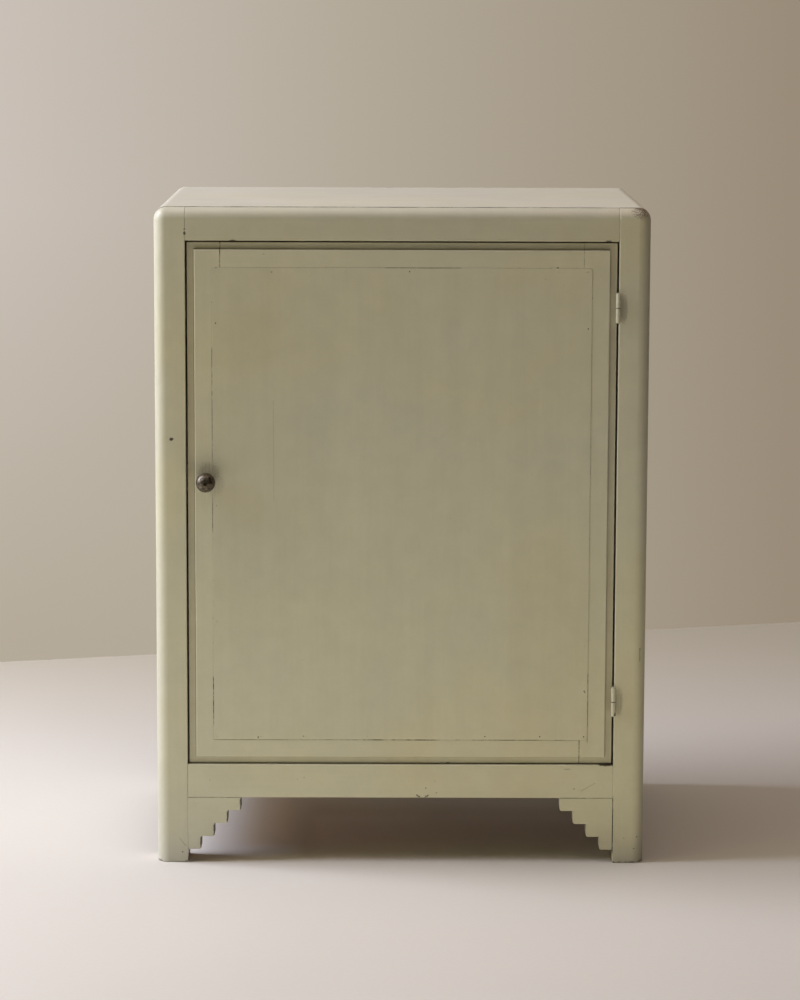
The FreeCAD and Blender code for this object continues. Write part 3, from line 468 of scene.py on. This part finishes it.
def painted_steel(name, joints, chipped):
    """The case's paint over the hinges, chipped on the edges and at one place, dark at the joints, and with
    painted shade in its corners.
    """
    s = Shader(name)
    rounded, edge = s.bevelled(0.7 * MILLIMETRE)
    thick = s.noise(260.0, 3.0, 0.6)
    colour = s.mix(s.ramp(thick, 0.3, 0.7), SAGE, SAGE_HINGE)
    # Painted shade: darker in corners and narrow gaps.
    colour = s.mix(s.scale(s.crevices(2.5 * MILLIMETRE), 0.6), colour, GRIME_AND_SHADE)
    for level in joints:
        colour = s.mix(s.scale(s.near("z", level, 0.3 * MILLIMETRE, 0.9 * MILLIMETRE), 0.85), colour, SOOT)
    chip = s.both(edge, s.ramp(s.noise(300.0, 3.0, 0.6), 0.54, 0.60))
    chip = s.any(chip, s.blot(chipped, (1.9 * MILLIMETRE, 2.6 * MILLIMETRE)))
    bare = s.mix(s.ramp(thick, 0.4, 0.6), KNOB_PATINA, RUST)
    s.set(base_color=s.mix(chip, colour, bare), metallic=s.ramp(chip, 0.0, 1.0, 0.0, 0.7))
    s.set(roughness=s.ramp(thick, 0.3, 0.7, 0.40, 0.54))
    s.set(normal=s.bump(s.math("SUBTRACT", thick, chip), 0.08 * MILLIMETRE, rounded))
    return s.material


def painted_pins(name):
    """Sunk nail heads, most of them painted over and a few rusty."""
    s = Shader(name)
    thick = s.noise(900.0, 2.0)
    lost = s.ramp(s.noise(31.0, 0.0, shift=(0.35, 0.0, 0.6)), 0.54, 0.57)
    coat = s.mix(s.ramp(thick, 0.3, 0.7), SAGE_HINGE, SAGE_OLIVE)
    s.set(base_color=s.mix(lost, coat, s.mix(thick, GRIME_AND_SHADE, RUST)))
    s.set(roughness=s.ramp(lost, 0.0, 1.0, 0.45, 0.7))
    s.set(normal=s.bump(thick, 0.1 * MILLIMETRE))
    return s.material


def dress(material, *names):
    for name in names:
        data = nodes[name].data
        data.materials.clear()
        data.materials.append(material)


# The case. A mark's place is x and z on the front, and its size is in millimetres.
PAINT_REACH = 24.0 * MILLIMETRE
INSIDE = FRONT + PAINT_REACH

LEFT_POST_SPOTS = (
    (-0.3069, 0.5804, 3.2, 2.8, 1.0),
    (-0.2955, 0.0141, 1.3, 1.2, 0.8),
    (-0.3260, 0.0, 4.0, 2.6, 0.7),
    (-0.2900, 0.0, 3.0, 3.5, 0.6),
    (-0.2885, 0.8560, 1.6, 2.2, 0.9),
    (-0.2885, 0.8613, 1.2, 1.2, 0.8),
)
LEFT_FOOT_SCRATCH = ((-0.2994, 0.0331), (-0.2907, 0.0219), 0.7, 0.35)
BRACKET_JOINT = (POST_LEFT, BRACKET_LOW.z, LEG)

left_post = Paint("paint_front_left_post", "z", filled=[BRACKET_JOINT]).bare(("+x", "+y", "-z"), INSIDE)
left_post.spots(*LEFT_POST_SPOTS).scratches_and_shadows(LEFT_FOOT_SCRATCH)
left_post.cracks(("x", POST_LEFT, LEG, OPENING_LOW, 0.2))
dress(left_post.done(), "front_left_post")

RIGHT_POST_SPOTS = (
    (0.3214, 0.0359, 1.3, 1.0, 0.9),
    (0.3176, 0.0197, 2.2, 0.8, 0.6),
    (0.3032, 0.0342, 1.8, 0.8, 0.35),
)
RIGHT_POST_SCRATCH = ((0.3222, 0.2790), (0.3222, 0.2970), 0.9, 0.55)
WORN_CORNER = ((0.3160, 0.8850), (13.0, 9.0), 0.8)
WORN_CORNER_EDGE = ((0.3095, 0.8897), (0.3210, 0.8865), 1.5, 0.85)
HINGE_SHADOW_AND_DIRT_X = 0.2945
HINGE_SHADOW_AND_DIRT_DROP = 1.0 * MILLIMETRE
HINGE_SHADOW_AND_DIRT_RADII = (6.5, 23.0)
SHADED_ROUND_START = 0.317
BRACKET_FOOT = 0.016
RIGHT_BRACKET_CRACK = ("x", POST_RIGHT, BRACKET_FOOT, LEG, 1.0)

right_post = Paint("paint_front_right_post", "z").bare(("-x", "+y", "-z"), INSIDE)
right_post.spots(*RIGHT_POST_SPOTS).scratches_and_shadows(RIGHT_POST_SCRATCH)
right_post.speckle(*WORN_CORNER).foot(0.75).scratches_and_shadows(WORN_CORNER_EDGE, colour=BROWN)
# Painted shade: the post's outer round darkens towards its right edge.
right_post.tint(right_post.ramp(right_post.axis["x"], SHADED_ROUND_START, cad_box[1].x, 0.0, 0.24), GRIME_AND_SHADE)
# Painted shadow and soiling on the post beside each hinge's barrel.
for joint in HINGE_JOINTS:
    right_post.smudge_and_shadow((HINGE_SHADOW_AND_DIRT_X, joint - HINGE_SHADOW_AND_DIRT_DROP), HINGE_SHADOW_AND_DIRT_RADII, 0.35)
# A painted highlight along the post's edge beside the door gap.
right_post.lit_arris("x", POST_RIGHT, 0.8).cracks(RIGHT_BRACKET_CRACK)
dress(right_post.done(), "front_right_post")

for hand, inward in (("left", "+x"), ("right", "-x")):
    rear_post = Paint(f"paint_rear_{hand}_post", "z").bare((inward, "+y", "-y", "-z")).foot(0.7)
    dress(rear_post.done(), f"rear_{hand}_post")

RAIL_SPOTS = (
    (0.0344, 0.1035, 1.2, 1.1, 0.75),
    (0.0466, 0.1132, 1.0, 0.9, 0.35),
    (0.2351, 0.1028, 1.2, 0.9, 0.7),
)
RAIL_DOTS = (
    (-0.2579, 0.1140, 1.1, 1.0, 0.3),
    (-0.1392, 0.1152, 1.0, 0.9, 0.25),
    (-0.1306, 0.1175, 1.1, 1.0, 0.4),
)
OPENING_SPOTS = (
    (0.2790, OPENING_LOW, 13.0, 1.9, 0.95),
    (-0.2245, OPENING_HIGH, 4.5, 1.8, 0.95),
    (0.2725, OPENING_HIGH, 4.6, 2.6, 0.95),
    (-0.2875, 0.8560, 1.6, 2.2, 0.9),
    (-0.2875, 0.8613, 1.2, 1.2, 0.8),
)
RAIL_SMEARS = ((0.0487, 0.0968, 1.4, 1.1, 0.6), (0.2260, 0.1300, 6.0, 1.3, 0.35))
RAIL_NICKS = (
    ((0.0222, 0.0937), (0.0258, 0.0912), 1.3, 0.95),
    ((0.0339, 0.0912), (0.0373, 0.0934), 1.3, 0.95),
)
RAIL_SCRATCH = ((0.2450, 0.1000), (0.2640, 0.1110), 1.0, 0.25)

rails = Paint("paint_front_rails", "x").bare(("+y", "-z"), INSIDE)
# A painted highlight runs along the top edge of the bottom rail.
rails.spots(*RAIL_SPOTS).lit_arris("z", OPENING_LOW, 0.8).spots(*OPENING_SPOTS)
rails.spots(*RAIL_SMEARS, colour=BROWN)
rails.scratches_and_shadows(*RAIL_NICKS).scratches_and_shadows(RAIL_SCRATCH, colour=BROWN)
# Painted shade: the top rail a little darker than the bottom one.
rails.tint(rails.ramp(rails.axis["z"], OPENING_LOW, OPENING_HIGH, 0.0, 0.055), GRIME_AND_SHADE)
rails.cracks(("x", POST_LEFT, LEG, OPENING_LOW, 0.2), ("x", POST_LEFT, OPENING_HIGH, CASE_HIGH, 0.4))
rails.spots(*RAIL_DOTS)
dress(rails.done(), "front_top_rail", "front_bottom_rail")

brackets = Paint("paint_brackets", "x", knocks=0.8, filled=[BRACKET_JOINT]).bare(("+y",))
# Painted shade on the faces that look to +x, away from the light, and a painted highlight on those that look
# to -x.
brackets.tint(brackets.scale(brackets.looking(("+x",)), 0.95), GRIME_AND_SHADE)
brackets.tint(brackets.scale(brackets.looking(("-x",)), 0.4), PRIMER_AND_HIGHLIGHT)
BRACKET_STEP = (BRACKET_HIGH - BRACKET_LOW) / BRACKET_STEPS
# A dark line at each riser: painted shadow on its rounded edge.
for step in range(BRACKET_STEPS):
    x, z = BRACKET_HIGH.x - step * BRACKET_STEP.x, BRACKET_HIGH.z - step * BRACKET_STEP.z
    brackets.scratches_and_shadows(((x, z - BRACKET_STEP.z * 0.85), (x, z - BRACKET_STEP.z * 0.15), 2.0, 0.95))
brackets.cracks(RIGHT_BRACKET_CRACK, ("z", LEG, POST_LEFT, POST_RIGHT, 0.7))
dress(brackets.done(), "left_foot_bracket", "right_foot_bracket")

for hand, inward in (("left", "+x"), ("right", "-x")):
    names = [f"{hand}_{place}_side_rail" for place in ("top", "bottom")]
    dress(Paint(f"paint_{hand}_rails", "y").bare((inward, "-z", "+z")).done(), *names)
    dress(Paint(f"paint_{hand}_panel", "z").bare((inward,)).done(), f"{hand}_side_panel")

top = Paint("paint_top", "x")
# The top is made paler in patches: dust, and a painted sheen.
top.tint(top.ramp(top.noise(7.0, 4.0, 0.6), 0.3, 0.7, 0.2, 0.4), DUST_AND_SHEEN).bare(("-z",))
seam = top.near("y", TOP_FRONT, 0.3 * MILLIMETRE, 1.3 * MILLIMETRE)
broken = top.ramp(top.noise(26.0, 4.0, 0.7), 0.36, 0.60, 0.35, 1.0)
dress(top.tint(top.scale(top.both(seam, broken), 0.8), SOOT).done(), "top_board")

wood_across = bare_wood("wood_across", "x")
dress(wood_across, "back_top_rail", "back_bottom_rail", "bottom_board", "shelf", "top_door_stop")
dress(bare_wood("wood_deep", "y"), "left_shelf_cleat", "right_shelf_cleat")
dress(bare_wood("plywood_back", "z", PLY_PALE, PLY_DARK), "back_panel")

# The door.
FIELD = ((DOOR_LEFT + BORDER, DOOR_LOW + BORDER), (DOOR_RIGHT - BORDER, DOOR_HIGH - BORDER))
JOINTS = (
    ("x", RAIL_LEFT, PANEL_HIGH.z, DOOR_HIGH, 0.9),
    ("x", RAIL_RIGHT, PANEL_HIGH.z, DOOR_HIGH, 0.35),
    ("x", RAIL_RIGHT, DOOR_LOW, PANEL_LOW.z, 0.8),
)
DOOR_JOINT = (RAIL_LEFT, DOOR_LOW, PANEL_LOW.z)
SEAMS = (
    ("x", PANEL_LOW.x, 0.539, 0.700, 0.55),
    ("x", PANEL_LOW.x, 0.457, 0.498, 0.65),
    ("x", PANEL_LOW.x, 0.194, 0.2535, 1.0),
    ("x", PANEL_HIGH.x, PANEL_LOW.z, 0.259, 0.55),
    ("z", PANEL_LOW.z, -0.250, -0.060, 0.4),
    ("z", PANEL_LOW.z, -0.048, -0.021, 1.0),
    ("z", PANEL_LOW.z, -0.009, 0.049, 0.95),
    ("z", PANEL_LOW.z, 0.100, 0.230, 0.55),
    ("z", PANEL_HIGH.z, -0.028, 0.075, 0.5),
)

TOP_PINS = (
    (0.2066, 0.8113, 1.9, 0.9, 0.9),
    (0.2452, 0.8053, 1.2, 1.0, 0.35),
    (0.1900, 0.7961, 1.0, 0.8, 0.4),
)
PANEL_PINS = (
    (-0.2466, 0.8100, 1.3, 1.0, 0.6),
    (-0.1730, 0.8049, 1.4, 1.1, 0.75),
    (0.2486, 0.2362, 1.2, 1.1, 0.9),
)
PANEL_TICKS = ((-0.1924, 0.1738, 0.9, 1.8, 0.9), (-0.1315, 0.1753, 1.0, 1.0, 0.85))
DOOR_RAIL_SPOTS = ((0.0647, DOOR_LOW, 3.0, 1.6, 0.95), (-0.1834, 0.8284, 2.2, 0.9, 0.3))
HAIRLINE = ((-0.1707, 0.498), (-0.1712, 0.633), 0.7, 0.16)
# The shade and the stains are soft patches, each a place and its radii in metres.
SHADE = ((-0.23, 0.60), (0.16, 0.36))
STAINS = (
    ((-0.213, 0.490), (0.040, 0.042)),
    ((-0.208, 0.712), (0.055, 0.060)),
    ((0.195, 0.330), (0.070, 0.16)),
)
# Soiling round and above the knob, and painted shadow below and to the right of it.
KNOB_DIRT_AND_SHADOW = (
    ((KNOB.x + 0.003, KNOB.z + 0.010), (17.0, 17.0), 0.34),
    ((KNOB.x + 0.010, KNOB.z - 0.005), (16.0, 20.0), 0.22),
    ((KNOB.x, KNOB.z), (26.0, 42.0), 0.08),
)

# The stiles get painted shade in their stepped border.
stiles = Paint("paint_stiles", "z", grime_and_shade=0.25, filled=[DOOR_JOINT]).recess_shade(*FIELD).cracks(*JOINTS, *SEAMS)
panel = Paint("paint_panel", "z", grime_and_shade=0.2).cracks(*SEAMS).spots(*TOP_PINS, *PANEL_PINS)
for paint in (stiles, panel):
    for dirt_and_shade in KNOB_DIRT_AND_SHADOW:
        paint.smudge_and_shadow(*dirt_and_shade)
dress(stiles.done(), "door_left_stile", "door_right_stile")

# The door's rails get painted shade in their stepped border.
door_rails = Paint("paint_door_rails", "x", grime_and_shade=0.25, filled=[DOOR_JOINT]).recess_shade(*FIELD)
door_rails.cracks(*JOINTS, *SEAMS).spots(*TOP_PINS, *DOOR_RAIL_SPOTS)
dress(door_rails.done(), "door_top_rail", "door_bottom_rail")

panel.scratches_and_shadows(HAIRLINE).tint(panel.scale(panel.blot(*SHADE, 0.1), 0.05), GRIME_AND_SHADE)
for place, radii in STAINS:
    panel.tint(panel.scale(panel.blot(place, radii, 0.15), 0.09), TEA)
panel.spots(*PANEL_TICKS)
dress(panel.done(), "door_panel")
dress(painted_pins("painted_pins"), "door_panel_pins")

# Metal.
HINGE_CHIP = (0.2895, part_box("lower_hinge_post_leaf")[0].z + 3.0 * MILLIMETRE)
hinge = painted_steel("hinge_paint", HINGE_JOINTS, HINGE_CHIP)
for which in HINGES:
    dress(hinge, f"{which}_hinge_post_leaf", f"{which}_hinge_door_leaf")
steel = metal("plain_steel", STEEL, DARK_STEEL, 0.30, 0.48, rust=0.35)
dress(steel, "upper_hinge_pin", "lower_hinge_pin", "hinge_post_screws", "hinge_door_screws", "keeper_screws")
dress(steel, "cleat_screws", "latch_keeper", "latch_washer", "latch_tongue", "latch_nut")
dress(metal("nail_steel", KNOB_PATINA, RUST, 0.45, 0.65, rust=0.9), "back_panel_nails")
dress(metal("knob_metal", KNOB_STEEL, KNOB_PATINA, 0.40, 0.54, patina_scale=300.0), "knob")
dress(metal("knob_rivet", KNOB_PATINA, SOOT, 0.45, 0.6), "latch_spindle")

# The stage: a pale floor, a warm backdrop and soft light.
WALL_LEFT_LOW = (0.462, 0.405, 0.322)
WALL_LEFT_HIGH = (0.593, 0.529, 0.475)
WALL_MIDDLE = (0.437, 0.385, 0.305)
WALL_RIGHT = (0.322, 0.262, 0.193)
WALL_RISE = (-0.21, -0.07)
WALL_SPREAD = 0.13
BEHIND_LIT = (0.60, 0.545, 0.50)
BEHIND_SHADE = (0.36, 0.30, 0.26)
WALL_LINE = ((-0.5670, 1.0739), (0.6021, 1.3624))
ROOM_LIGHT = (1.0, 0.90, 0.73)
FLOOR_REACH = (7.0, -9.0)
FLOOR_LEVEL = -0.0004
# Painted light and painted shade on the floor under the case: start, end and soft edge along x and along y,
# and tone.
FLOOR_LIGHT_AND_SHADE_PATCHES = (
    ((-0.10, 0.27, 0.05), (-0.14, 0.02, 0.06), FLOOR_UNDER_LIGHT),
    ((-0.19, -0.165, 0.05), (-0.09, 0.19, 0.05), FLOOR_UNDER_LEFT_SHADE),
)


def stage_floor():
    slope = (WALL_LINE[1][1] - WALL_LINE[0][1]) / (WALL_LINE[1][0] - WALL_LINE[0][0])
    wide, near = FLOOR_REACH

    def far(x):
        return WALL_LINE[0][1] + slope * (x - WALL_LINE[0][0])

    corners = [(-wide, near), (wide, near), (wide, far(wide)), (-wide, far(-wide))]
    mesh = bpy.data.meshes.new("floor")
    mesh.from_pydata([(x, y, FLOOR_LEVEL) for x, y in corners], [], [(0, 1, 2, 3)])
    floor = bpy.data.objects.new("floor", mesh)
    bpy.context.scene.collection.objects.link(floor)
    s = Shader("floor")
    cloud = s.noise(1.1, 3.0, 0.5)
    speck = s.noise(160.0, 3.0, 0.6)
    shade = s.math("ADD", s.ramp(cloud, 0.3, 0.7, 0.98, 1.0), s.ramp(speck, 0.3, 0.7, -0.008, 0.008))
    # Painted shade: the floor darker and warmer towards the wall.
    colour = s.mix(s.ramp(s.axis["y"], 0.2, 1.3), FLOOR, FLOOR_FAR_SHADE)
    # Painted light deep under the case, and painted shade under its left side.
    for across, deep, tone in FLOOR_LIGHT_AND_SHADE_PATCHES:
        colour = s.mix(s.both(s.within("x", *across), s.within("y", *deep)), colour, tone)
    s.set(base_color=s.mix(1.0, colour, shade, "MULTIPLY"), roughness=s.ramp(cloud, 0.3, 0.7, 0.5, 0.62))
    mesh.materials.append(s.material)


def stage_world():
    """The backdrop, with a floor's tone below it from behind, and soft light from the back of the room."""
    world = bpy.data.worlds.new("studio")
    bpy.context.scene.world = world
    world.use_nodes = True
    n = Nodes(world.node_tree)
    way = n.split(n.new("ShaderNodeTexCoord").outputs["Generated"])
    # The backdrop is painted with the wall's light: paler high up at the left, darker to the right.
    left = n.mix(n.ramp(way["z"], *WALL_RISE, smooth=False), WALL_LEFT_LOW, WALL_LEFT_HIGH)
    wall = n.mix(n.ramp(way["x"], -WALL_SPREAD, 0.0, smooth=False), left, WALL_MIDDLE)
    wall = n.mix(n.ramp(way["x"], 0.0, WALL_SPREAD, smooth=False), wall, WALL_RIGHT)
    below = n.both(n.ramp(way["y"], 0.1, -0.1), n.ramp(way["z"], 0.0, -0.1))
    wall = n.mix(below, wall, n.mix(n.ramp(way["x"], -0.5, 0.5), BEHIND_SHADE, BEHIND_LIT))
    seen = n.new("ShaderNodeBackground")
    n.put(seen.inputs["Color"], wall)
    light = n.new("ShaderNodeBackground")
    n.put(light.inputs["Color"], ROOM_LIGHT)
    strength = n.both(n.ramp(way["y"], -0.1, 0.4, 0.02, 0.34), n.ramp(way["x"], 0.1, 0.8, 1.0, 0.25))
    n.put(light.inputs["Strength"], strength)
    both = n.new("ShaderNodeMixShader")
    n.put(both.inputs[0], n.new("ShaderNodeLightPath").outputs["Is Camera Ray"])
    n.put(both.inputs[1], light.outputs[0])
    n.put(both.inputs[2], seen.outputs[0])
    n.put(n.new("ShaderNodeOutputWorld").inputs["Surface"], both.outputs[0])


def lamp(name, place, target, size, power, colour):
    data = bpy.data.lights.new(name, "AREA")
    data.shape = "RECTANGLE"
    data.size, data.size_y = size
    data.energy = power
    data.color = colour
    made = bpy.data.objects.new(name, data)
    bpy.context.scene.collection.objects.link(made)
    made.visible_camera = False
    aim = Vector(target) - Vector(place)
    made.matrix_world = Matrix.Translation(place) @ aim.to_track_quat("-Z", "Y").to_matrix().to_4x4()


# Name, place, target, size, power and colour.
LAMPS = (
    ("key", (-2.8, -0.1, 2.35), (0.0, -0.1, 0.20), (1.4, 2.2), 131.0, (0.828, 0.852, 1.0)),
    ("high", (-1.8, -0.8, 3.0), (0.0, -0.1, 0.35), (2.0, 1.6), 8.0, (0.95, 1.0, 0.50)),
    ("side", (-3.0, -0.1, 0.45), (0.0, -0.1, 0.15), (2.0, 0.9), 3.0, (1.0, 0.84, 0.72)),
    ("window", (-2.4, -1.3, 0.95), (0.0, -0.2, 0.40), (1.2, 1.4), 4.2, (1.0, 1.0, 0.28)),
    ("bounce", (-0.1, -1.16, 0.002), (-0.1, -1.16, 1.0), (2.2, 1.8), 4.9, (1.0, 0.93, 0.46)),
    ("top", (0.0, -0.5, 4.0), (0.0, 0.0, 0.5), (3.0, 3.0), 36.0, (1.0, 0.76, 0.64)),
)

stage_floor()
stage_world()
for row in LAMPS:
    lamp(*row)


# The camera of the photograph.
CAMERA_PLACE = (-0.0163, -4.205, 1.176)
PITCH_YAW_ROLL = (7.506, 0.199, 0.188)
SENSOR_WIDTH = 36.0
LENS = 109.41
SHIFT = -0.11
CLIP_END = 50.0


def photo_camera():
    pitch, yaw, roll = (math.radians(angle) for angle in PITCH_YAW_ROLL)
    ahead = Vector((math.sin(yaw) * math.cos(pitch), math.cos(yaw) * math.cos(pitch), -math.sin(pitch)))
    level = Vector((math.cos(yaw), -math.sin(yaw), 0.0))
    right = level * math.cos(roll) + level.cross(ahead) * math.sin(roll)
    upward = right.cross(ahead)
    data = bpy.data.cameras.new("camera")
    data.sensor_width = SENSOR_WIDTH
    data.lens = LENS
    data.shift_y = SHIFT
    data.clip_end = CLIP_END
    camera = bpy.data.objects.new("camera", data)
    bpy.context.scene.collection.objects.link(camera)
    turn = Matrix((right, upward, -ahead)).transposed().to_4x4()
    camera.matrix_world = Matrix.Translation(CAMERA_PLACE) @ turn
    bpy.context.scene.camera = camera


photo_camera()
bpy.context.scene.view_settings.view_transform = "Standard"
